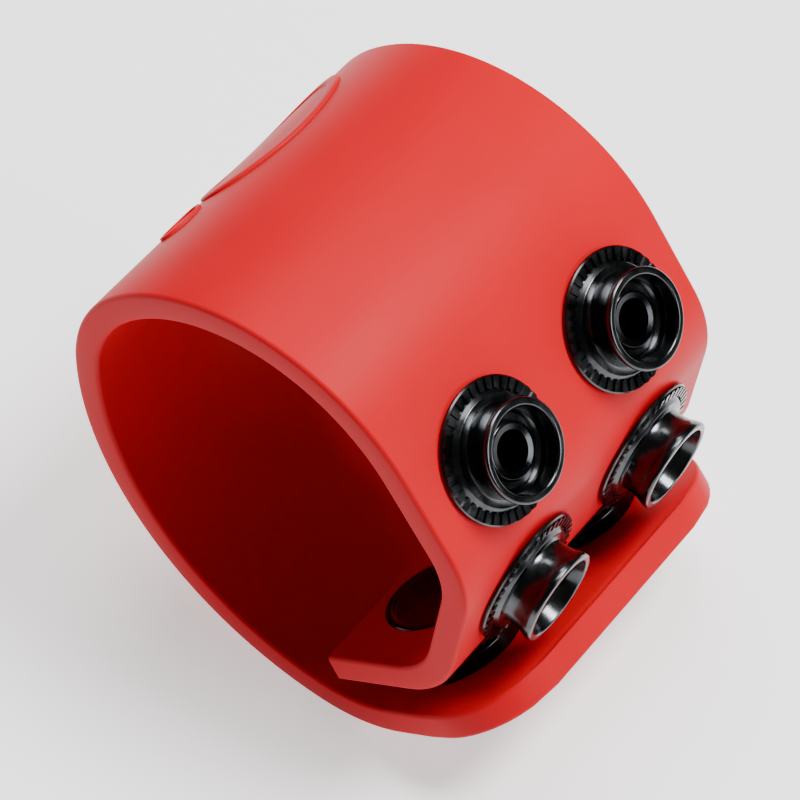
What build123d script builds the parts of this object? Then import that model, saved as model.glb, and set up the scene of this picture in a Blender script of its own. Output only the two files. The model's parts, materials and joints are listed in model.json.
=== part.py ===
from build123d import *
from math import cos, radians, sin
import os

# A wide moulded silicone wrist cuff that closes with two rows of metal snaps.
# It lies on its side: the wrist opening runs along Y, +X points to the snaps
# and +Z is up. The origin is the middle of the wrist opening.
# Lengths are in millimetres and angles in degrees.

os.makedirs("parts", exist_ok=True)

# ---------------------------------------------------------------- strap sizes
strap_width = 46.6          # along the wrist, from side edge to side edge
strap_thickness = 3.4
tongue_corner = 9.4         # plan corner radius of the outer end

# ------------------------------------------------- path of the strap's outside
arm_slope = 35.5            # direction of the inner end where it meets the snaps
low_turn = 50.0             # bend between snap rows c and b
high_turn = 44.0            # bend between snap rows b and a
crown_turn = 99.5
shoulder_turn = 44.0
flank_turn = 360.0 - arm_slope - low_turn - high_turn - crown_turn - shoulder_turn
crown_radius = 25.5         # outside radius over the top of the wrist
lift_turn = 6.0             # last small bend of the outer end
lift_radius = 24.0
tail_reach = 15.4           # from the snap axis to the outer end

# ------------------------------------------------------------- snap hardware
row_pitch = 19.2            # spacing of the three snap rows along the strap
snap_spacing = 22.6         # spacing of the near and far snap of a row
end_margin = 7.4            # from the inner end to the axis of row c
row_flat = 9.6              # straight stretch of strap under rows a and b
row_c_flat = 7.2            # straight stretch under row c
tail_flat = 4.0             # straight stretch of the outer end under its caps
closed_gap = 3.8            # between the two strap layers when snapped

stud_flange_d = 16.0
stud_flange_h = 0.8
stud_step_d = 12.4          # raised round step on the flange
stud_step_h = 0.35
stud_neck_d = 10.2
stud_rim_d = 11.3           # widest part of the stud, behind which the spring grips
stud_rim_h = 0.8
stud_flare_h = 0.7          # from the straight neck out to the rim
stud_height = 4.9           # from the strap to the top of the rim
stud_wall = 0.8
stud_floor_h = 2.2          # height of the floor inside the stud's cup

barrel_d = 5.0              # tube of the eyelet through the strap
barrel_bore = 4.2           # open towards the cup and closed by the back plate
barrel_clearance = 0.1      # radial, to every hole the barrel passes
curl_d = 6.6                # rolled top of the eyelet, inside the stud's cup
curl_h = 0.7
eyelet_flange_d = 12.5
eyelet_flange_h = 0.7
eyelet_bead_w = 0.9         # raised edge of the back plate
eyelet_dish = 0.3           # depth of the back plate inside that edge
eyelet_recess = 0.6         # depth of the seat in the strap's inside

socket_side_wall = 0.75     # outside the spring's groove
socket_wall = 0.5           # over the stud's head
socket_standoff = 0.2       # free height left above the stud's step
socket_mouth_clearance = 0.45   # radial, around the stud's rim
socket_head_clearance = 0.5     # above the stud's rim
spring_wire_d = 0.9
spring_grip = 0.2           # how far the spring reaches in behind the rim
spring_split = 3.0          # gap between the two ends of the spring
spring_play = 0.1           # between the spring and its groove

cap_d = 16.0
cap_rim_h = 0.6
cap_crown_h = 1.7
cap_corner = 0.25
cap_recess = 0.5            # depth of the cap's seat in the strap's outside
post_d = 4.0
post_head_d = 5.4
post_head_h = 0.5
seat_clearance = 0.1        # radial, around parts seated in the silicone

# ------------------------------------------------------------ path arithmetic
def heading(angle):
    """Unit step in the XZ plane along a direction in degrees."""
    return Vector(cos(radians(angle)), sin(radians(angle)))


def inward(angle):
    """Unit step from the strap's outside towards its inside."""
    return Vector(-sin(radians(angle)), cos(radians(angle)))


def bend(start_angle, turn):
    """Displacement along a bend of unit radius."""
    return inward(start_angle) - inward(start_angle + turn)


# Both bends between the rows take up what the flats leave of the pitch.
low_radius = (row_pitch - row_c_flat / 2 - row_flat / 2) / radians(low_turn)
high_radius = (row_pitch - row_flat) / radians(high_turn)

# The cap's lowest point and the bottom of the band lie on one level.
cap_reach = (
    (cap_d / 2 - cap_corner) * sin(radians(arm_slope))
    + (cap_rim_h - cap_recess - cap_corner) * cos(radians(arm_slope))
    + cap_corner
)
seat_rise = cap_reach - tail_flat / 2 * sin(radians(arm_slope))
tail_radius = seat_rise / (1 - cos(radians(arm_slope)))

# Directions at which the stretches of the strap begin.
row_b_angle = arm_slope + low_turn
row_a_angle = row_b_angle + high_turn
shoulder_angle = row_a_angle + crown_turn
flank_angle = shoulder_angle + shoulder_turn

# The shoulder and flank radii follow from the closed snap: one turn round the
# wrist ends one gap and one thickness outside row c.
closure = -inward(arm_slope) * (closed_gap + strap_thickness)
fixed_run = (
    heading(arm_slope) * (row_c_flat / 2)
    + bend(arm_slope, low_turn) * low_radius
    + heading(row_b_angle) * row_flat
    + bend(row_b_angle, high_turn) * high_radius
    + heading(row_a_angle) * row_flat
    + bend(row_a_angle, crown_turn) * crown_radius
    + bend(0, arm_slope) * tail_radius
    + heading(arm_slope) * (tail_flat / 2)
)
left_over = closure - fixed_run
shoulder_bend = bend(shoulder_angle, shoulder_turn)
flank_bend = bend(flank_angle, flank_turn)
share = shoulder_bend.X * flank_bend.Y - shoulder_bend.Y * flank_bend.X
shoulder_radius = (left_over.X * flank_bend.Y - left_over.Y * flank_bend.X) / share
flank_radius = (shoulder_bend.X * left_over.Y - shoulder_bend.Y * left_over.X) / share

tail_angle = arm_slope + lift_turn
end_run = tail_reach - tail_flat / 2 - lift_radius * radians(lift_turn)

# Each stretch is a run (length, no turn) or a bend (outside radius, turn).
band_stretches = [
    (end_margin + row_c_flat / 2, 0),
    (low_radius, low_turn),
    (row_flat, 0),
    (high_radius, high_turn),
    (row_flat, 0),
    (crown_radius, crown_turn),
    (shoulder_radius, shoulder_turn),
    (flank_radius, flank_turn),
]
tail_stretches = [
    (tail_radius, arm_slope),
    (tail_flat, 0),
    (lift_radius, lift_turn),
    (end_run, 0),
]


def stations(start, angle, stretches):
    """Start point, direction, size and turn of every stretch, and the end."""
    found = []
    for size, turn in stretches:
        found.append((start, angle, size, turn))
        step = bend(angle, turn) if turn else heading(angle)
        start = start + step * size
        angle = angle + turn
    return found, start


def inside_point(station, direction):
    """Point of the strap's inside where a bend runs in the given direction."""
    start, angle, radius, _ = station
    centre = start + inward(angle) * radius
    return centre - inward(direction) * (radius - strap_thickness)


# The path is laid out from any start, then moved so that the middle of the
# opening is at the origin.
trial, trial_end = stations(Vector(0, 0), arm_slope, band_stretches)
right_side = inside_point(trial[3], 90)
top_side = inside_point(trial[5], 180)
left_side = inside_point(trial[6], 270)
bottom_side = trial_end + inward(0) * strap_thickness
path_start = Vector(
    -(left_side.X + right_side.X) / 2,
    -(bottom_side.Y + top_side.Y) / 2,
)
band_path, hinge_point = stations(path_start, arm_slope, band_stretches)
tail_path, tail_end = stations(hinge_point, 0, tail_stretches)


def trace(path, depth):
    """Draw a path at a depth below the strap's outside."""
    for start, angle, size, turn in path:
        first = start + inward(angle) * depth
        if turn:
            middle = start + bend(angle, turn / 2) * size + inward(angle + turn / 2) * depth
            last = start + bend(angle, turn) * size + inward(angle + turn) * depth
            ThreePointArc(first, middle, last)
        else:
            Line(first, first + heading(angle) * size)


def close_ends(start, start_angle, end, end_angle):
    """Join the outside and the inside at both ends of a path."""
    Line(start, start + inward(start_angle) * strap_thickness)
    Line(end, end + inward(end_angle) * strap_thickness)


# ------------------------------------------------------------- snap positions
def in_space(point, y=0.0):
    """A point of the side view at a place along the wrist."""
    return Vector(point.X, y, point.Y)


def seat_plane(point, angle, y):
    """Plane on the strap's outside, with its normal pointing outwards."""
    return Plane(in_space(point, y), x_dir=(0, 1, 0), z_dir=in_space(-inward(angle)))


def snap_section(seat):
    """Plane through a snap's axis: radius along X, height along Y."""
    return Plane(seat.origin, x_dir=seat.x_dir, z_dir=-seat.y_dir)


def snap_axis(seat):
    return Axis(seat.origin, seat.z_dir)


row_feet = {
    "a": (band_path[4][0] + heading(row_a_angle) * (row_flat / 2), row_a_angle),
    "b": (band_path[2][0] + heading(row_b_angle) * (row_flat / 2), row_b_angle),
    "c": (path_start + heading(arm_slope) * end_margin, arm_slope),
}
sides = {"near": -snap_spacing / 2, "far": snap_spacing / 2}
seats = {
    f"{row}_{side}": seat_plane(foot, angle, y)
    for row, (foot, angle) in row_feet.items()
    for side, y in sides.items()
}

# Heights above the strap's outside, along the axis of row c.
mouth_level = stud_flange_h + stud_step_h + socket_standoff
base_level = stud_height + socket_head_clearance
socket_top = base_level + socket_wall
cap_level = closed_gap + strap_thickness - cap_recess
spring_level = stud_height - stud_rim_h - stud_flare_h
eyelet_level = -(strap_thickness - eyelet_recess)

barrel_hole_r = barrel_d / 2 + barrel_clearance
post_hole_r = post_d / 2 + seat_clearance
head_bore_r = stud_rim_d / 2 + socket_mouth_clearance
spring_r = stud_rim_d / 2 - spring_grip + spring_wire_d / 2
groove_r = spring_r + spring_wire_d / 2 + spring_play
socket_r = groove_r + socket_side_wall


# -------------------------------------------------------------------- strap
whole_path = band_path + tail_path
tongue_plane = Plane(
    in_space(tail_end),
    x_dir=in_space(heading(tail_angle)),
    z_dir=in_space(inward(tail_angle)),
)
tongue_side = 2 * tongue_corner

with BuildPart() as strap:
    with BuildSketch(Plane.XZ):
        with BuildLine():
            trace(whole_path, 0)
            trace(whole_path, strap_thickness)
            close_ends(path_start, arm_slope, tail_end, tail_angle)
        make_face()
    extrude(amount=strap_width / 2, both=True)
    # The outer end is a tongue with large round corners.
    with BuildSketch(tongue_plane.offset(-closed_gap / 2)):
        Rectangle(tongue_side, strap_width + tongue_side)
        with Locations((-tongue_side, 0)):
            RectangleRounded(2 * tongue_side, strap_width, tongue_corner, mode=Mode.SUBTRACT)
    extrude(amount=strap_thickness + closed_gap, mode=Mode.SUBTRACT)
    for seat in seats.values():
        with BuildSketch(seat):
            Circle(barrel_hole_r)
        extrude(amount=-strap_thickness, mode=Mode.SUBTRACT)
        with BuildSketch(seat.offset(eyelet_level)):
            Circle(eyelet_flange_d / 2 + seat_clearance)
        extrude(amount=-eyelet_recess - eyelet_flange_h, mode=Mode.SUBTRACT)
    for side in sides:
        seat = seats[f"c_{side}"]
        with BuildSketch(seat.offset(mouth_level)):
            Circle(socket_r + seat_clearance)
        extrude(amount=socket_top - mouth_level, mode=Mode.SUBTRACT)
        with BuildSketch(seat.offset(socket_top)):
            Circle(post_hole_r)
        extrude(amount=cap_level - socket_top, mode=Mode.SUBTRACT)
        with BuildSketch(seat.offset(cap_level)):
            Circle(cap_d / 2 + seat_clearance)
        extrude(amount=cap_crown_h, mode=Mode.SUBTRACT)

# The strap bends where it leaves the floor. The tail beyond that line is a
# piece of its own, wrapped here by a shell that clears the layer above it.
wrap_margin = closed_gap / 3
with BuildPart() as tail_wrap:
    with BuildSketch(Plane.XZ):
        with BuildLine():
            trace(tail_path, -wrap_margin)
            trace(tail_path, strap_thickness + wrap_margin)
            wrap_start = hinge_point - inward(0) * wrap_margin
            wrap_end = tail_end - inward(tail_angle) * wrap_margin
            Line(wrap_start, wrap_start + inward(0) * (strap_thickness + 2 * wrap_margin))
            Line(wrap_end, wrap_end + inward(tail_angle) * (strap_thickness + 2 * wrap_margin))
        make_face()
    extrude(amount=strap_width, both=True)

with BuildPart() as strap_band:
    add(strap.part)
    add(tail_wrap.part, mode=Mode.SUBTRACT)
strap_band.part.label = "strap_band"
export_step(strap_band.part, "parts/strap_band.step")

with BuildPart() as strap_tail:
    add(strap.part)
    add(tail_wrap.part, mode=Mode.INTERSECT)
strap_tail.part.label = "strap_tail"
export_step(strap_tail.part, "parts/strap_tail.step")

# ----------------------------------------------------------- studs, eyelets
neck_r = stud_neck_d / 2
rim_r = stud_rim_d / 2
step_top = stud_flange_h + stud_step_h
stud_outline = [
    (barrel_hole_r, 0),
    (stud_flange_d / 2, 0),
    (stud_flange_d / 2, stud_flange_h),
    (stud_step_d / 2, stud_flange_h),
    (stud_step_d / 2, step_top),
    (neck_r, step_top),
    (neck_r, spring_level),
    (rim_r, stud_height - stud_rim_h),
    (rim_r, stud_height),
    (rim_r - stud_wall, stud_height),
    (neck_r - stud_wall, spring_level),
    (neck_r - stud_wall, stud_floor_h),
    (barrel_hole_r, stud_floor_h),
]
bore_r = barrel_bore / 2
back_level = eyelet_level - eyelet_flange_h
bead_inner_r = eyelet_flange_d / 2 - eyelet_bead_w
eyelet_outline = [
    (0, back_level + eyelet_dish),
    (bead_inner_r, back_level + eyelet_dish),
    (bead_inner_r, back_level),
    (eyelet_flange_d / 2, back_level),
    (eyelet_flange_d / 2, eyelet_level),
    (barrel_d / 2, eyelet_level),
    (barrel_d / 2, stud_floor_h),
    (curl_d / 2, stud_floor_h),
    (curl_d / 2, stud_floor_h + curl_h / 2),
    (barrel_d / 2, stud_floor_h + curl_h),
    (bore_r, stud_floor_h + curl_h),
    (bore_r, eyelet_level),
    (0, eyelet_level),
]

for name, seat in seats.items():
    with BuildPart() as stud:
        with BuildSketch(snap_section(seat)):
            with BuildLine():
                Polyline(*stud_outline, close=True)
            make_face()
        revolve(axis=snap_axis(seat))
    stud.part.label = f"stud_{name}"
    export_step(stud.part, f"parts/stud_{name}.step")

    with BuildPart() as eyelet:
        with BuildSketch(snap_section(seat)):
            with BuildLine():
                Polyline(*eyelet_outline, close=True)
            make_face()
        revolve(axis=snap_axis(seat))
    eyelet.part.label = f"eyelet_{name}"
    export_step(eyelet.part, f"parts/eyelet_{name}.step")

# ------------------------------------------------- sockets, springs and caps
groove_low = spring_level - spring_wire_d / 2 - spring_play
groove_high = spring_level + spring_wire_d / 2 + spring_play
socket_outline = [
    (head_bore_r, mouth_level),
    (socket_r, mouth_level),
    (socket_r, socket_top),
    (post_hole_r, socket_top),
    (post_hole_r, base_level),
    (head_bore_r, base_level),
    (head_bore_r, groove_high),
    (groove_r, groove_high),
    (groove_r, groove_low),
    (head_bore_r, groove_low),
]
split_turn = spring_split / radians(1) / spring_r
cap_top = cap_level + cap_crown_h
cap_r = cap_d / 2
post_r = post_d / 2
dome_rise = cap_crown_h - cap_rim_h
dome_r = ((cap_r - cap_corner) ** 2 + dome_rise**2) / (2 * dome_rise)

for side in sides:
    seat = seats[f"c_{side}"]
    with BuildPart() as socket:
        with BuildSketch(snap_section(seat)):
            with BuildLine():
                Polyline(*socket_outline, close=True)
            make_face()
        revolve(axis=snap_axis(seat))
    socket.part.label = f"socket_{side}"
    export_step(socket.part, f"parts/socket_{side}.step")

    with BuildPart() as spring:
        with BuildSketch(snap_section(seat)):
            with Locations((spring_r, spring_level)):
                Circle(spring_wire_d / 2)
        revolve(axis=snap_axis(seat), revolution_arc=360 - split_turn)
    spring.part.label = f"socket_spring_{side}"
    export_step(spring.part, f"parts/socket_spring_{side}.step")

    with BuildPart() as cap:
        with BuildSketch(snap_section(seat)):
            with BuildLine():
                Line((0, cap_top), (0, base_level - post_head_h))
                Line((0, base_level - post_head_h), (post_head_d / 2, base_level - post_head_h))
                Line((post_head_d / 2, base_level - post_head_h), (post_head_d / 2, base_level))
                Line((post_head_d / 2, base_level), (post_r, base_level))
                Line((post_r, base_level), (post_r, cap_level))
                Line((post_r, cap_level), (cap_r, cap_level))
                Line((cap_r, cap_level), (cap_r, cap_level + cap_rim_h - cap_corner))
                RadiusArc(
                    (cap_r, cap_level + cap_rim_h - cap_corner),
                    (cap_r - cap_corner, cap_level + cap_rim_h),
                    -cap_corner,
                )
                RadiusArc(
                    (cap_r - cap_corner, cap_level + cap_rim_h),
                    (0, cap_top),
                    -dome_r,
                )
            make_face()
        revolve(axis=snap_axis(seat))
    cap.part.label = f"cap_{side}"
    export_step(cap.part, f"parts/cap_{side}.step")
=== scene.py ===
import json
from math import acos, cos, pi, radians, sin, sqrt

import bmesh
import bpy
from mathutils import Matrix, Vector


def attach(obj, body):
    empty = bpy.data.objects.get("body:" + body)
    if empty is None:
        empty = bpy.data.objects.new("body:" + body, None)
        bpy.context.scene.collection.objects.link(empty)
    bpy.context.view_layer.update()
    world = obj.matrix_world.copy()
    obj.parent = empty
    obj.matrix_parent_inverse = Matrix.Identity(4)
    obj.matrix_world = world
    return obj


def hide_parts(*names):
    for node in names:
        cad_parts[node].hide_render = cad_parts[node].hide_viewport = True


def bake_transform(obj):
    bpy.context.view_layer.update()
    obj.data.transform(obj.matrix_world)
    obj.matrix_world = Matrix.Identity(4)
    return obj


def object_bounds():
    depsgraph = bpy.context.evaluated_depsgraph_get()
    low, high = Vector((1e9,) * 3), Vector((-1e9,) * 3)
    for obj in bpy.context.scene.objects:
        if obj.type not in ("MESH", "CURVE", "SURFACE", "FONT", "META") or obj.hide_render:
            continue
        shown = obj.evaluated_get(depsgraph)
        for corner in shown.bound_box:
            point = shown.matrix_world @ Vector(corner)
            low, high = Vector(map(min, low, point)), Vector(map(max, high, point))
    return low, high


# A wide red silicone wrist cuff that lies on its side, closed by dark metal
# snaps. Lengths are in metres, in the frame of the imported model.

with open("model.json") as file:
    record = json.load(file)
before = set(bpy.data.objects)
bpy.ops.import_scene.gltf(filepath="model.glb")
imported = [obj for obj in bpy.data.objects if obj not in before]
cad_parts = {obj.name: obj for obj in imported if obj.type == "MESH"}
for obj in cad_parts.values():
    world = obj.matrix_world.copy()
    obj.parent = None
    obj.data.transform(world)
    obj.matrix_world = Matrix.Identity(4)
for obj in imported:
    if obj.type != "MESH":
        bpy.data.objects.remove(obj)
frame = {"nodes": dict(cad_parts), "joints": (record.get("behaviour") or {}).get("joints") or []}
cad_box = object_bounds()

MM = 0.001

# ------------------------------------------------------- strap path and sizes
strap_width = 46.6 * MM
strap_thickness = 3.4 * MM
corner_round = 0.55 * MM
side_cuts = 12                  # cuts across the strap's thickness
seam_depth = 0.14 * MM          # moulding seam along both sides
seam_place = 0.9 * MM           # from the outside to the seam
bend_step = 1.5                 # degrees of a bend between two sections
run_step = 0.8 * MM             # length of a run between two sections
touching = 0.001 * MM           # two places nearer than this are the same
tongue_corner = 9.4 * MM

arm_slope = 35.5
low_turn = 50.0
high_turn = 44.0
crown_turn = 99.5
shoulder_turn = 44.0
flank_turn = 360.0 - arm_slope - low_turn - high_turn - crown_turn - shoulder_turn
crown_radius = 25.5 * MM
lift_turn = 6.0
lift_radius = 24.0 * MM
tail_reach = 15.4 * MM
row_pitch = 19.2 * MM
end_margin = 7.4 * MM
row_flat = 9.6 * MM
row_c_flat = 7.2 * MM
tail_flat = 4.0 * MM
tail_radius = 18.651 * MM       # brings the caps down to the band's lowest level
closed_gap = 3.8 * MM

# Snap sizes, measured from the strap's outside along each snap's axis.
stud_flange_r = 8.0 * MM
stud_flange_h = 0.8 * MM
stud_step_r = 6.2 * MM
stud_step_h = 0.35 * MM
neck_r = 5.1 * MM
rim_r = 5.65 * MM
stud_height = 4.9 * MM
stud_wall = 0.8 * MM
stud_floor_h = 2.2 * MM
barrel_r = 2.5 * MM
bore_r = 2.1 * MM
curl_r = 3.3 * MM
curl_h = 0.7 * MM
eyelet_flange_r = 6.25 * MM
eyelet_recess = 0.6 * MM
eyelet_flange_h = 0.7 * MM
eyelet_dish = 0.3 * MM
socket_r = 7.2 * MM
mouth_level = 1.35 * MM
socket_top = 5.9 * MM
head_bore_r = 6.1 * MM
cap_r = 8.0 * MM
post_r = 2.0 * MM
cap_level = 6.7 * MM
cap_rim_h = 0.6 * MM
cap_crown_h = 1.7 * MM
spring_level = 3.4 * MM
groove_r = 6.45 * MM            # bottom of the spring's groove in the socket
groove_half = 0.55 * MM
post_head_level = 4.9 * MM
post_head_r = 2.7 * MM
seat_play = 0.1 * MM            # between a snap part and its hole in the strap
flange_teeth = 40
tooth_height = 0.22 * MM
tooth_base = 0.6 * MM           # level of the flange between the teeth
turn_steps = 160                # sides of every turned piece
strips_per_tooth = turn_steps // flange_teeth
axis_gap = 0.02 * MM            # an outline stops this far from its axis


# ------------------------------------------------------------ path arithmetic
def heading(angle):
    return Vector((cos(radians(angle)), 0, sin(radians(angle))))


def inward(angle):
    return Vector((-sin(radians(angle)), 0, cos(radians(angle))))


def bend(start_angle, turn):
    return inward(start_angle) - inward(start_angle + turn)


def stations(start, angle, stretches):
    """Start point, direction, size and turn of each stretch, and the end."""
    found = []
    for size, turn in stretches:
        found.append((start.copy(), angle, size, turn))
        start = start + (bend(angle, turn) if turn else heading(angle)) * size
        angle += turn
    return found, start


low_radius = (row_pitch - row_c_flat / 2 - row_flat / 2) / radians(low_turn)
high_radius = (row_pitch - row_flat) / radians(high_turn)
row_b_angle = arm_slope + low_turn
row_a_angle = row_b_angle + high_turn
shoulder_angle = row_a_angle + crown_turn
flank_angle = shoulder_angle + shoulder_turn
tail_angle = arm_slope + lift_turn

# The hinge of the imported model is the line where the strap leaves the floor.
peel = next(joint for joint in frame["joints"] if joint["name"] == "tail_peel")
hinge_point = Vector(peel["pos_m"])

closure = -inward(arm_slope) * (closed_gap + strap_thickness)
fixed_run = (
    heading(arm_slope) * (row_c_flat / 2)
    + bend(arm_slope, low_turn) * low_radius
    + heading(row_b_angle) * row_flat
    + bend(row_b_angle, high_turn) * high_radius
    + heading(row_a_angle) * row_flat
    + bend(row_a_angle, crown_turn) * crown_radius
    + bend(0, arm_slope) * tail_radius
    + heading(arm_slope) * (tail_flat / 2)
)
left_over = closure - fixed_run
shoulder_bend = bend(shoulder_angle, shoulder_turn)
flank_bend = bend(flank_angle, flank_turn)
share = shoulder_bend.x * flank_bend.z - shoulder_bend.z * flank_bend.x
shoulder_radius = (left_over.x * flank_bend.z - left_over.z * flank_bend.x) / share
flank_radius = (shoulder_bend.x * left_over.z - shoulder_bend.z * left_over.x) / share

arm_stretches = [
    (end_margin + row_c_flat / 2, 0),
    (low_radius, low_turn),
    (row_flat, 0),
    (high_radius, high_turn),
    (row_flat, 0),
    (crown_radius, crown_turn),
    (shoulder_radius, shoulder_turn),
]
end_run = tail_reach - tail_flat / 2 - lift_radius * radians(lift_turn)
tail_stretches = [
    (tail_radius, arm_slope),
    (tail_flat, 0),
    (lift_radius, lift_turn),
    (end_run, 0),
]
flank_start = hinge_point - flank_bend * flank_radius
arm_run, arm_length_end = stations(Vector((0, 0, 0)), arm_slope, arm_stretches)
path_start = flank_start - arm_length_end


snap_reach = 11.3 * MM
sides = {"near": -snap_reach, "far": snap_reach}
row_b_start = arm_run[2][0] + path_start
row_a_start = arm_run[4][0] + path_start
rows = {
    "a": (row_a_start + heading(row_a_angle) * (row_flat / 2), row_a_angle),
    "b": (row_b_start + heading(row_b_angle) * (row_flat / 2), row_b_angle),
    "c": (path_start + heading(arm_slope) * end_margin, arm_slope),
}


# --------------------------------------------------------- modelling helpers
def deselect_everything():
    if bpy.context.object and bpy.context.object.mode != "OBJECT":
        bpy.ops.object.mode_set(mode="OBJECT")
    bpy.ops.object.select_all(action="DESELECT")


def name_piece(name):
    piece = bpy.context.object
    piece.name = name
    piece.data.name = name
    return piece


def apply_modifier(piece, kind, **settings):
    modifier = piece.modifiers.new(kind.title(), kind)
    for key, value in settings.items():
        setattr(modifier, key, value)
    bpy.context.view_layer.objects.active = piece
    bpy.ops.object.modifier_apply(modifier=modifier.name)


def smooth_faces(piece, angle=35):
    deselect_everything()
    piece.select_set(True)
    bpy.context.view_layer.objects.active = piece
    bpy.ops.object.shade_smooth_by_angle(angle=radians(angle))


def recalculate_outside(piece):
    deselect_everything()
    piece.select_set(True)
    bpy.context.view_layer.objects.active = piece
    bpy.ops.object.mode_set(mode="EDIT")
    bpy.ops.mesh.select_all(action="SELECT")
    bpy.ops.mesh.remove_doubles(threshold=1e-6)
    bpy.ops.mesh.normals_make_consistent(inside=False)
    bpy.ops.object.mode_set(mode="OBJECT")


def copy_piece(piece, name):
    twin = piece.copy()
    twin.data = piece.data.copy()
    twin.name = name
    twin.data.name = name
    bpy.context.collection.objects.link(twin)
    return twin


def turned_piece(name, outline, closed=True):
    """Turn an outline of (radius, height) pairs round the Z axis.

    An open outline starts and ends by the axis and is filled there.
    """
    deselect_everything()
    first_r, first_h = outline[0]
    bpy.ops.mesh.primitive_circle_add(vertices=turn_steps, radius=first_r, location=(0, 0, first_h))
    piece = name_piece(name)
    bpy.ops.object.transform_apply(location=True)
    bpy.ops.object.mode_set(mode="EDIT")
    bpy.ops.mesh.select_all(action="SELECT")
    rounds = outline[1:] + ([outline[0]] if closed else [])
    last_r, last_h = outline[0]
    for r, h in rounds:
        bpy.ops.mesh.extrude_edges_move(TRANSFORM_OT_translate={"value": (0, 0, h - last_h)})
        grow = r / last_r
        if abs(grow - 1) > 1e-6:
            bpy.ops.transform.resize(value=(grow, grow, 1), center_override=(0, 0, h))
        last_r, last_h = r, h
    if not closed:
        bpy.ops.mesh.select_all(action="SELECT")
        bpy.ops.mesh.region_to_loop()
        bpy.ops.mesh.edge_face_add()
    bpy.ops.object.mode_set(mode="OBJECT")
    recalculate_outside(piece)
    return piece


def place_on(piece, foot, angle, y):
    """Move a turned piece's mesh from the Z axis to a snap's place."""
    outward = -inward(angle)
    across = Vector((0, 1, 0))
    along = across.cross(outward)
    turn = Matrix((along, across, outward)).transposed().to_4x4()
    piece.data.transform(Matrix.Translation(foot + across * y) @ turn)
    piece.data.update()


def arc(centre, radius, start, end, steps):
    """Points of (radius, height) along a round stretch of an outline."""
    middle_r, middle_h = centre
    points = []
    for i in range(steps + 1):
        angle = radians(start + (end - start) * i / steps)
        points.append((middle_r + radius * cos(angle), middle_h + radius * sin(angle)))
    return points


# ------------------------------------------------------------------ materials
def new_material(name):
    material = bpy.data.materials.new(name)
    material.use_nodes = True
    nodes = material.node_tree.nodes
    return material, nodes, material.node_tree.links, nodes["Principled BSDF"]


def fine_mottle_group():
    """Noise at a chosen scale, as a mask between 0 and 1."""
    group = bpy.data.node_groups.new("Fine mottle", "ShaderNodeTree")
    group.interface.new_socket("Vector", in_out="INPUT", socket_type="NodeSocketVector")
    scale = group.interface.new_socket("Scale", in_out="INPUT", socket_type="NodeSocketFloat")
    scale.default_value = 400.0
    low = group.interface.new_socket("Low", in_out="INPUT", socket_type="NodeSocketFloat")
    low.default_value = 0.3
    high = group.interface.new_socket("High", in_out="INPUT", socket_type="NodeSocketFloat")
    high.default_value = 0.7
    group.interface.new_socket("Mask", in_out="OUTPUT", socket_type="NodeSocketFloat")
    inputs = group.nodes.new("NodeGroupInput")
    outputs = group.nodes.new("NodeGroupOutput")
    noise = group.nodes.new("ShaderNodeTexNoise")
    noise.inputs["Detail"].default_value = 4.0
    spread = group.nodes.new("ShaderNodeMapRange")
    group.links.new(inputs.outputs["Vector"], noise.inputs["Vector"])
    group.links.new(inputs.outputs["Scale"], noise.inputs["Scale"])
    group.links.new(noise.outputs["Fac"], spread.inputs["Value"])
    group.links.new(inputs.outputs["Low"], spread.inputs["From Min"])
    group.links.new(inputs.outputs["High"], spread.inputs["From Max"])
    group.links.new(spread.outputs["Result"], outputs.inputs["Mask"])
    return group


fine_mottle = fine_mottle_group()


def add_mottle(nodes, links, scale, low=0.3, high=0.7):
    place = nodes.new("ShaderNodeTexCoord")
    mottle = nodes.new("ShaderNodeGroup")
    mottle.node_tree = fine_mottle
    mottle.inputs["Scale"].default_value = scale
    mottle.inputs["Low"].default_value = low
    mottle.inputs["High"].default_value = high
    links.new(place.outputs["Object"], mottle.inputs["Vector"])
    return mottle


def blend_colours(nodes, links, mask, first, second):
    mix = nodes.new("ShaderNodeMix")
    mix.data_type = "RGBA"
    mix.inputs["A"].default_value = (*first, 1)
    mix.inputs["B"].default_value = (*second, 1)
    links.new(mask, mix.inputs["Factor"])
    return mix


def silicone_material():
    material, nodes, links, shader = new_material("red_silicone")
    cloud = add_mottle(nodes, links, 60.0, 0.25, 0.75)
    deep_red = (0.48, 0.0, 0.006)
    bright_red = (0.53, 0.0, 0.009)
    tint = blend_colours(nodes, links, cloud.outputs["Mask"], deep_red, bright_red)
    links.new(tint.outputs["Result"], shader.inputs["Base Color"])
    sheen_change = nodes.new("ShaderNodeMapRange")
    sheen_change.inputs["To Min"].default_value = 0.40
    sheen_change.inputs["To Max"].default_value = 0.50
    links.new(cloud.outputs["Mask"], sheen_change.inputs["Value"])
    links.new(sheen_change.outputs["Result"], shader.inputs["Roughness"])
    skin = add_mottle(nodes, links, 2600.0, 0.2, 0.8)
    bump = nodes.new("ShaderNodeBump")
    bump.inputs["Strength"].default_value = 0.25
    bump.inputs["Distance"].default_value = 0.02 * MM
    links.new(skin.outputs["Mask"], bump.inputs["Height"])
    links.new(bump.outputs["Normal"], shader.inputs["Normal"])
    shader.inputs["Specular IOR Level"].default_value = 0.09
    return material


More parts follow.
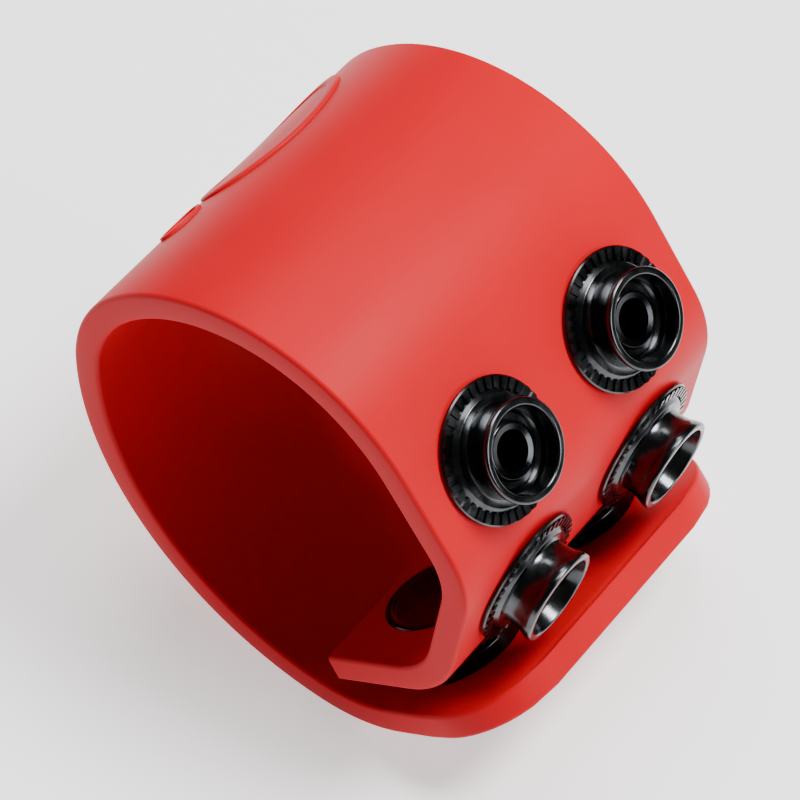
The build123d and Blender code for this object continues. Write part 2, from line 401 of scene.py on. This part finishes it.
def metal_material(name, dark, light, rough_low, rough_high):
    material, nodes, links, shader = new_material(name)
    cloud = add_mottle(nodes, links, 500.0)
    tint = blend_colours(nodes, links, cloud.outputs["Mask"], dark, light)
    links.new(tint.outputs["Result"], shader.inputs["Base Color"])
    shader.inputs["Metallic"].default_value = 1.0
    wear = nodes.new("ShaderNodeMapRange")
    wear.inputs["To Min"].default_value = rough_low
    wear.inputs["To Max"].default_value = rough_high
    links.new(cloud.outputs["Mask"], wear.inputs["Value"])
    links.new(wear.outputs["Result"], shader.inputs["Roughness"])
    brush = add_mottle(nodes, links, 3000.0)
    bump = nodes.new("ShaderNodeBump")
    bump.inputs["Strength"].default_value = 0.15
    bump.inputs["Distance"].default_value = 0.01 * MM
    links.new(brush.outputs["Mask"], bump.inputs["Height"])
    links.new(bump.outputs["Normal"], shader.inputs["Normal"])
    return material


red_silicone = silicone_material()
gunmetal = metal_material("black_nickel", (0.045, 0.048, 0.052), (0.085, 0.088, 0.092), 0.14, 0.24)
dark_eyelet = metal_material("black_eyelet", (0.02, 0.022, 0.025), (0.045, 0.047, 0.05), 0.10, 0.18)
spring_wire = metal_material("spring_wire", (0.35, 0.35, 0.36), (0.5, 0.5, 0.51), 0.2, 0.3)


def dress_piece(piece, material, node):
    """Give a piece its material and let it stand for a CAD node."""
    piece.data.materials.clear()
    piece.data.materials.append(material)
    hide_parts(node)


# ---------------------------------------------------------------------- strap
def divide_sides(piece):
    """Cut both side edges finely and press the moulding seam into them."""
    shape = bmesh.from_edit_mesh(piece.data)
    for edge in shape.edges:
        edge.select_set(all(abs(abs(v.co.y) - strap_width / 2) < touching for v in edge.verts))
    shape.select_flush_mode()
    bmesh.update_edit_mesh(piece.data)
    bpy.ops.mesh.subdivide(number_cuts=side_cuts)
    shape = bmesh.from_edit_mesh(piece.data)
    step = (strap_thickness - 2 * corner_round) / (side_cuts + 1)
    for vertex in shape.verts:
        on_side = abs(abs(vertex.co.y) - strap_width / 2) < touching
        below = vertex.co.x + strap_thickness / 2
        if on_side and abs(below - seam_place) < step * 0.7:
            vertex.co.y -= seam_depth if vertex.co.y > 0 else -seam_depth
    bmesh.update_edit_mesh(piece.data)
    bpy.ops.mesh.select_all(action="SELECT")


def strap_section(name, start, angle):
    """Rounded section of the strap, standing across the path's start."""
    deselect_everything()
    bpy.ops.mesh.primitive_plane_add(size=1)
    piece = name_piece(name)
    piece.scale = (strap_thickness, strap_width, 1)
    bpy.ops.object.transform_apply(scale=True)
    bpy.ops.object.mode_set(mode="EDIT")
    bpy.ops.mesh.select_all(action="SELECT")
    bpy.ops.mesh.bevel(offset=corner_round, segments=5, affect="VERTICES")
    divide_sides(piece)
    bpy.ops.object.mode_set(mode="OBJECT")
    across = Vector((0, 1, 0))
    stand = Matrix((inward(angle), across, heading(angle))).transposed().to_4x4()
    centre = start + inward(angle) * (strap_thickness / 2)
    piece.data.transform(Matrix.Translation(centre) @ stand)
    return piece


def sweep_strap(name, start, angle, stretches):
    """Carry the strap's section along runs and bends."""
    piece = strap_section(name, start, angle)
    path, _ = stations(start, angle, stretches)
    bpy.ops.object.mode_set(mode="EDIT")
    bpy.ops.mesh.select_all(action="SELECT")
    for point, direction, size, turn in path:
        if turn:
            steps = round(turn / bend_step)
            bpy.ops.mesh.spin(
                steps=steps,
                angle=radians(turn),
                center=point + inward(direction) * size,
                axis=(0, 1, 0),
            )
        else:
            steps = round(size / run_step)
            step = heading(direction) * (size / steps)
            for _ in range(steps):
                bpy.ops.mesh.extrude_region_move(TRANSFORM_OT_translate={"value": step})
    bpy.ops.object.mode_set(mode="OBJECT")
    recalculate_outside(piece)
    return piece


def open_cut(piece, point, direction):
    """Remove the flat face on a cut that the neighbouring piece covers."""
    shape = bmesh.new()
    shape.from_mesh(piece.data)
    flat = [
        face
        for face in shape.faces
        if abs(face.normal.dot(heading(direction))) > 0.99
        and abs((face.calc_center_median() - point).dot(heading(direction))) < 0.05 * MM
    ]
    bmesh.ops.delete(shape, geom=flat, context="FACES_ONLY")
    shape.to_mesh(piece.data)
    shape.free()


def round_tongue(piece, tip):
    """Draw the outer end in to large round corners."""
    along = heading(tail_angle)
    for vertex in piece.data.vertices:
        back = (tip - vertex.co).dot(along)
        depth = (vertex.co - tip).dot(inward(tail_angle))
        beside = -closed_gap / 2 < depth < strap_thickness + closed_gap / 2
        if beside and -0.1 * MM < back < tongue_corner:
            drawn = tongue_corner - sqrt(max(tongue_corner**2 - (tongue_corner - back) ** 2, 0))
            vertex.co.y *= 1 - drawn / (strap_width / 2)
    piece.data.update()


def cut_seats(piece, outline, row_names):
    """Cut a stepped hole for the snap at both ends of each named row."""
    for row in row_names:
        foot, angle = rows[row]
        for y in sides.values():
            cutter = turned_piece("seat_cutter", outline, closed=False)
            place_on(cutter, foot, angle, y)
            recalculate_outside(cutter)
            apply_modifier(piece, "BOOLEAN", operation="DIFFERENCE", solver="EXACT", object=cutter)
            bpy.data.objects.remove(cutter)


eyelet_seat = -(strap_thickness - eyelet_recess)
above_strap = 1 * MM
below_seat = eyelet_seat - 2 * MM
eyelet_cut = [
    (axis_gap, above_strap),
    (barrel_r + seat_play, above_strap),
    (barrel_r + seat_play, eyelet_seat),
    (eyelet_flange_r + seat_play, eyelet_seat),
    (eyelet_flange_r + seat_play, below_seat),
    (axis_gap, below_seat),
]
socket_cut = [
    (axis_gap, mouth_level),
    (socket_r + seat_play, mouth_level),
    (socket_r + seat_play, socket_top),
    (post_r + seat_play, socket_top),
    (post_r + seat_play, cap_level),
    (cap_r + seat_play, cap_level),
    (cap_r + seat_play, cap_level + cap_crown_h),
    (axis_gap, cap_level + cap_crown_h),
]

strap_upper = sweep_strap("strap_upper", path_start, arm_slope, arm_stretches)
cut_seats(strap_upper, eyelet_cut, "abc")
open_cut(strap_upper, flank_start, flank_angle)
smooth_faces(strap_upper)
dress_piece(strap_upper, red_silicone, "strap_band")
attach(strap_upper, "cuff")

lower_stretches = [(flank_radius, flank_turn)] + tail_stretches
strap_lower = sweep_strap("strap_lower", flank_start, flank_angle, lower_stretches)
_, tongue_tip = stations(hinge_point, 0, tail_stretches)
round_tongue(strap_lower, tongue_tip)
cut_seats(strap_lower, socket_cut, "c")
open_cut(strap_lower, flank_start, flank_angle)
smooth_faces(strap_lower)
dress_piece(strap_lower, red_silicone, "strap_tail")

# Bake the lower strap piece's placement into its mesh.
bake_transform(strap_lower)

# --------------------------------------------------------------------- emblem
# A plain raised oval and a smaller one stand on the shoulder.
shoulder_start = path_start + arm_run[-1][0]
shoulder_middle = shoulder_start + inward(shoulder_angle) * shoulder_radius
emblem_angle = 236.0
emblem_height = 0.35 * MM
emblem_base = -0.3 * MM


def bend_on_shoulder(piece, y, half_length, half_width):
    """Stretch a round plaque to its size and lay it on the shoulder."""
    for vertex in piece.data.vertices:
        along = vertex.co.x * half_length
        across = vertex.co.y * half_width
        angle = emblem_angle + along / shoulder_radius * 180 / pi
        reach = shoulder_radius + vertex.co.z
        place = shoulder_middle - inward(angle) * reach
        vertex.co = (place.x, y + across, place.z)
    piece.data.update()


def model_plaque(name, y, half_length, half_width):
    """Plaque with a rounded raised border round a lower field."""
    top = emblem_height
    field = top * 0.25
    outline = [
        (1.0, emblem_base),
        (1.0, top * 0.55),
        (0.985, top * 0.88),
        (0.955, top),
        (0.86, top),
        (0.835, top * 0.8),
        (0.82, top * 0.35),
        (0.79, field),
        (0.6, field),
        (0.4, field),
        (0.2, field),
        (0.05, field),
    ]
    piece = turned_piece(name, outline, closed=False)
    bend_on_shoulder(piece, y, half_length, half_width)
    recalculate_outside(piece)
    smooth_faces(piece, 40)
    piece.data.materials.append(red_silicone)
    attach(piece, "cuff")


model_plaque("emblem_oval", 6.95 * MM, 6.2 * MM, 11.6 * MM)
model_plaque("emblem_bar", -9.0 * MM, 1.8 * MM, 3.2 * MM)

# ---------------------------------------------------------------------- snaps
def model_stud():
    """Clinched stud: a toothed flange, a raised step and a flared cup."""
    lip = 0.28 * MM
    inner_lip = 0.2 * MM
    foot_gap = 0.02 * MM
    step_top = stud_flange_h + stud_step_h
    hole_r = barrel_r + seat_play
    inner_r = neck_r - stud_wall
    outline = [
        (hole_r, foot_gap),
        (stud_flange_r - 0.3 * MM, foot_gap),
        (stud_flange_r, 0.25 * MM),
        (stud_flange_r, 0.45 * MM),
        (stud_flange_r - 0.15 * MM, tooth_base),
        (stud_step_r + 0.45 * MM, tooth_base),
        (stud_step_r + 0.2 * MM, stud_flange_h),
        (stud_step_r, step_top - 0.08 * MM),
        (stud_step_r - 0.12 * MM, step_top),
        (neck_r + 0.35 * MM, step_top),
        (neck_r + 0.1 * MM, step_top + 0.12 * MM),
        (neck_r, step_top + 0.4 * MM),
        (neck_r + 0.04 * MM, spring_level - 1.0 * MM),
        (neck_r + 0.14 * MM, spring_level - 0.2 * MM),
        (neck_r + 0.3 * MM, spring_level + 0.3 * MM),
        (rim_r - 0.06 * MM, stud_height - 0.75 * MM),
    ]
    outline += arc((rim_r - lip, stud_height - lip), lip, 0, 90, 5)
    inner_lip_middle = (rim_r - stud_wall + 0.1 * MM, stud_height - inner_lip)
    outline += arc(inner_lip_middle, inner_lip, 90, 180, 4)
    outline += [
        (inner_r + 0.12 * MM, spring_level + 0.2 * MM),
        (inner_r, spring_level - 0.3 * MM),
        (inner_r, stud_floor_h + 0.35 * MM),
        (inner_r - 0.3 * MM, stud_floor_h),
        (hole_r, stud_floor_h),
    ]
    piece = turned_piece("stud", outline)
    # Half of the flange's strips are raised, side by side, into teeth.
    shape = bmesh.new()
    shape.from_mesh(piece.data)
    teeth = []
    for face in shape.faces:
        middle = face.calc_center_median()
        reach = sqrt(middle.x**2 + middle.y**2)
        on_flange = face.normal.z > 0.9 and stud_step_r + 0.4 * MM < reach < stud_flange_r
        if on_flange and abs(middle.z - tooth_base) < 0.05 * MM:
            turned = pi + Vector((middle.x, middle.y)).angle_signed(Vector((1, 0)))
            strip = int(turned / (2 * pi) * turn_steps)
            if strip % strips_per_tooth < strips_per_tooth / 2:
                teeth.append(face)
    raised = bmesh.ops.extrude_face_region(shape, geom=teeth)
    tops = [item for item in raised["geom"] if isinstance(item, bmesh.types.BMVert)]
    bmesh.ops.delete(shape, geom=teeth, context="FACES_ONLY")
    bmesh.ops.translate(shape, verts=tops, vec=(0, 0, tooth_height))
    bmesh.ops.recalc_face_normals(shape, faces=shape.faces)
    shape.to_mesh(piece.data)
    shape.free()
    return piece


def model_eyelet():
    """Eyelet: a rolled top in the stud's cup, a blind barrel and a dished back."""
    plate = -(strap_thickness - eyelet_recess)
    back = plate - eyelet_flange_h
    bead = eyelet_flange_h / 2
    outline = [
        (axis_gap, plate + 0.1 * MM),
        (bore_r - 0.6 * MM, plate + 0.1 * MM),
        (bore_r - 0.1 * MM, plate + 0.3 * MM),
        (bore_r, plate + 0.8 * MM),
        (bore_r, stud_floor_h + curl_h - 0.5 * MM),
        (bore_r + 0.15 * MM, stud_floor_h + curl_h - 0.12 * MM),
    ]
    outline += arc((curl_r - curl_h / 2, stud_floor_h + curl_h / 2), curl_h / 2, 110, -80, 9)
    outline += [
        (barrel_r, stud_floor_h),
        (barrel_r, plate),
    ]
    outline += arc((eyelet_flange_r - bead, plate - bead), bead, 90, -90, 9)
    outline += [
        (eyelet_flange_r - bead - 0.35 * MM, back + 0.03 * MM),
        (eyelet_flange_r - bead - 0.6 * MM, back + 0.2 * MM),
        (eyelet_flange_r - bead - 0.85 * MM, back + eyelet_dish),
        (axis_gap, back + eyelet_dish),
    ]
    return turned_piece("eyelet", outline, closed=False)


def model_socket():
    """Socket: a rounded shell whose mouth takes the stud's rim."""
    shell = 0.55 * MM
    roof_h = 0.5 * MM
    outline = [(head_bore_r, mouth_level + 0.2 * MM), (head_bore_r + 0.2 * MM, mouth_level)]
    outline += arc((socket_r - shell, mouth_level + shell), shell, 270, 360, 6)
    outline += arc((socket_r - shell, socket_top - shell), shell, 0, 90, 6)
    outline += [
        (post_r + seat_play, socket_top),
        (post_r + seat_play, socket_top - roof_h),
        (head_bore_r, socket_top - roof_h),
        (head_bore_r, spring_level + groove_half + 0.05 * MM),
        (groove_r, spring_level + groove_half),
        (groove_r, spring_level - groove_half),
        (head_bore_r, spring_level - groove_half - 0.05 * MM),
    ]
    return turned_piece("socket", outline)


def model_cap():
    """Cap: a low dome with a rolled rim and the riveted post behind it."""
    dome_rise = cap_crown_h - cap_rim_h
    corner = 0.25 * MM
    chord = cap_r - corner
    dome_r = (chord**2 + dome_rise**2) / (2 * dome_rise)
    centre_h = cap_level + cap_crown_h - dome_r
    rim_angle = 180 / pi * acos(chord / dome_r)
    outline = [
        (axis_gap, post_head_level),
        (post_head_r - 0.3 * MM, post_head_level),
        (post_head_r, post_head_level + 0.15 * MM),
        (post_head_r, post_head_level + 0.5 * MM),
        (post_r, post_head_level + 0.5 * MM),
        (post_r, cap_level),
        (cap_r - 0.1 * MM, cap_level),
        (cap_r, cap_level + 0.1 * MM),
    ]
    outline += arc((cap_r - corner, cap_level + cap_rim_h - corner), corner, 0, 80, 4)
    outline += arc((0, centre_h), dome_r, rim_angle, 89.9, 14)
    return turned_piece("cap", outline, closed=False)


def fit_snaps(model, prefix, material, body, row_names):
    """Model one part of a snap and copy it to both ends of each row."""
    pattern = model()
    smooth_faces(pattern, 32)
    for row in row_names:
        foot, angle = rows[row]
        for side, y in sides.items():
            node = f"{prefix}_{row}_{side}" if len(row_names) > 1 else f"{prefix}_{side}"
            piece = copy_piece(pattern, f"{node}_detail")
            place_on(piece, foot, angle, y)
            dress_piece(piece, material, node)
            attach(piece, body)
    bpy.data.objects.remove(pattern)


fit_snaps(model_stud, "stud", gunmetal, "cuff", "abc")
fit_snaps(model_eyelet, "eyelet", dark_eyelet, "cuff", "abc")
fit_snaps(model_socket, "socket", dark_eyelet, "tail", "c")
fit_snaps(model_cap, "cap", gunmetal, "tail", "c")
for side in sides:
    spring = frame["nodes"][f"socket_spring_{side}"]
    spring.data.materials.clear()
    spring.data.materials.append(spring_wire)

# ------------------------------------------------------ floor, lights, camera
floor_level = cad_box[0][2]


def pale_floor():
    material, nodes, links, shader = new_material("pale_floor")
    grain = add_mottle(nodes, links, 8.0)
    duller = (0.86, 0.855, 0.845)
    paler = (0.90, 0.895, 0.885)
    tint = blend_colours(nodes, links, grain.outputs["Mask"], duller, paler)
    links.new(tint.outputs["Result"], shader.inputs["Base Color"])
    shader.inputs["Roughness"].default_value = 0.7
    shader.inputs["Emission Color"].default_value = (1, 1, 1, 1)
    shader.inputs["Emission Strength"].default_value = 0.8
    return material


deselect_everything()
bpy.ops.mesh.primitive_plane_add(size=6, location=(0, 0, floor_level))
floor = name_piece("floor")
bpy.ops.object.transform_apply(location=True)
floor.data.materials.append(pale_floor())


def area_light(name, place, size, power):
    """A soft round lamp that looks at the middle of the wrist opening."""
    lamp = bpy.data.lights.new(name, "AREA")
    lamp.shape = "DISK"
    lamp.size = size
    lamp.energy = power
    holder = bpy.data.objects.new(name, lamp)
    bpy.context.collection.objects.link(holder)
    holder.location = place
    aim = (-Vector(place)).to_track_quat("-Z", "Y")
    holder.rotation_euler = aim.to_euler()


area_light("key_light", (0.2, 0.2, 0.62), size=0.25, power=6.8)
area_light("top_light", (-0.2, 0.15, 0.6), size=0.40, power=3.6)
area_light("side_fill", (0.5, 0.1, 0.25), size=0.25, power=1.4)


def pale_studio():
    """Pale walls that are seen behind the floor and light the cuff only a little."""
    world = bpy.data.worlds.new("studio")
    world.use_nodes = True
    nodes = world.node_tree.nodes
    seen = nodes.new("ShaderNodeLightPath")
    strength = nodes.new("ShaderNodeMapRange")
    strength.inputs["To Min"].default_value = 0.06
    strength.inputs["To Max"].default_value = 1.1
    background = nodes["Background"]
    background.inputs["Color"].default_value = (1, 1, 1, 1)
    world.node_tree.links.new(seen.outputs["Is Camera Ray"], strength.inputs["Value"])
    world.node_tree.links.new(strength.outputs["Result"], background.inputs["Strength"])
    return world


bpy.context.scene.world = pale_studio()

camera_place = Vector((141.2, -226.2, 338.9)) * MM
camera_aim = Vector((15.8, -23.4, 32.5)) * MM
camera_roll = 5.57
lens = bpy.data.cameras.new("camera")
lens.sensor_width = 36
lens.lens = 174.8
lens.clip_start = 0.01
camera = bpy.data.objects.new("camera", lens)
bpy.context.collection.objects.link(camera)
camera.location = camera_place
looking = (camera_aim - camera_place).to_track_quat("-Z", "Y").to_matrix()
camera.rotation_euler = (looking @ Matrix.Rotation(radians(camera_roll), 3, "Z")).to_euler()
bpy.context.scene.camera = camera
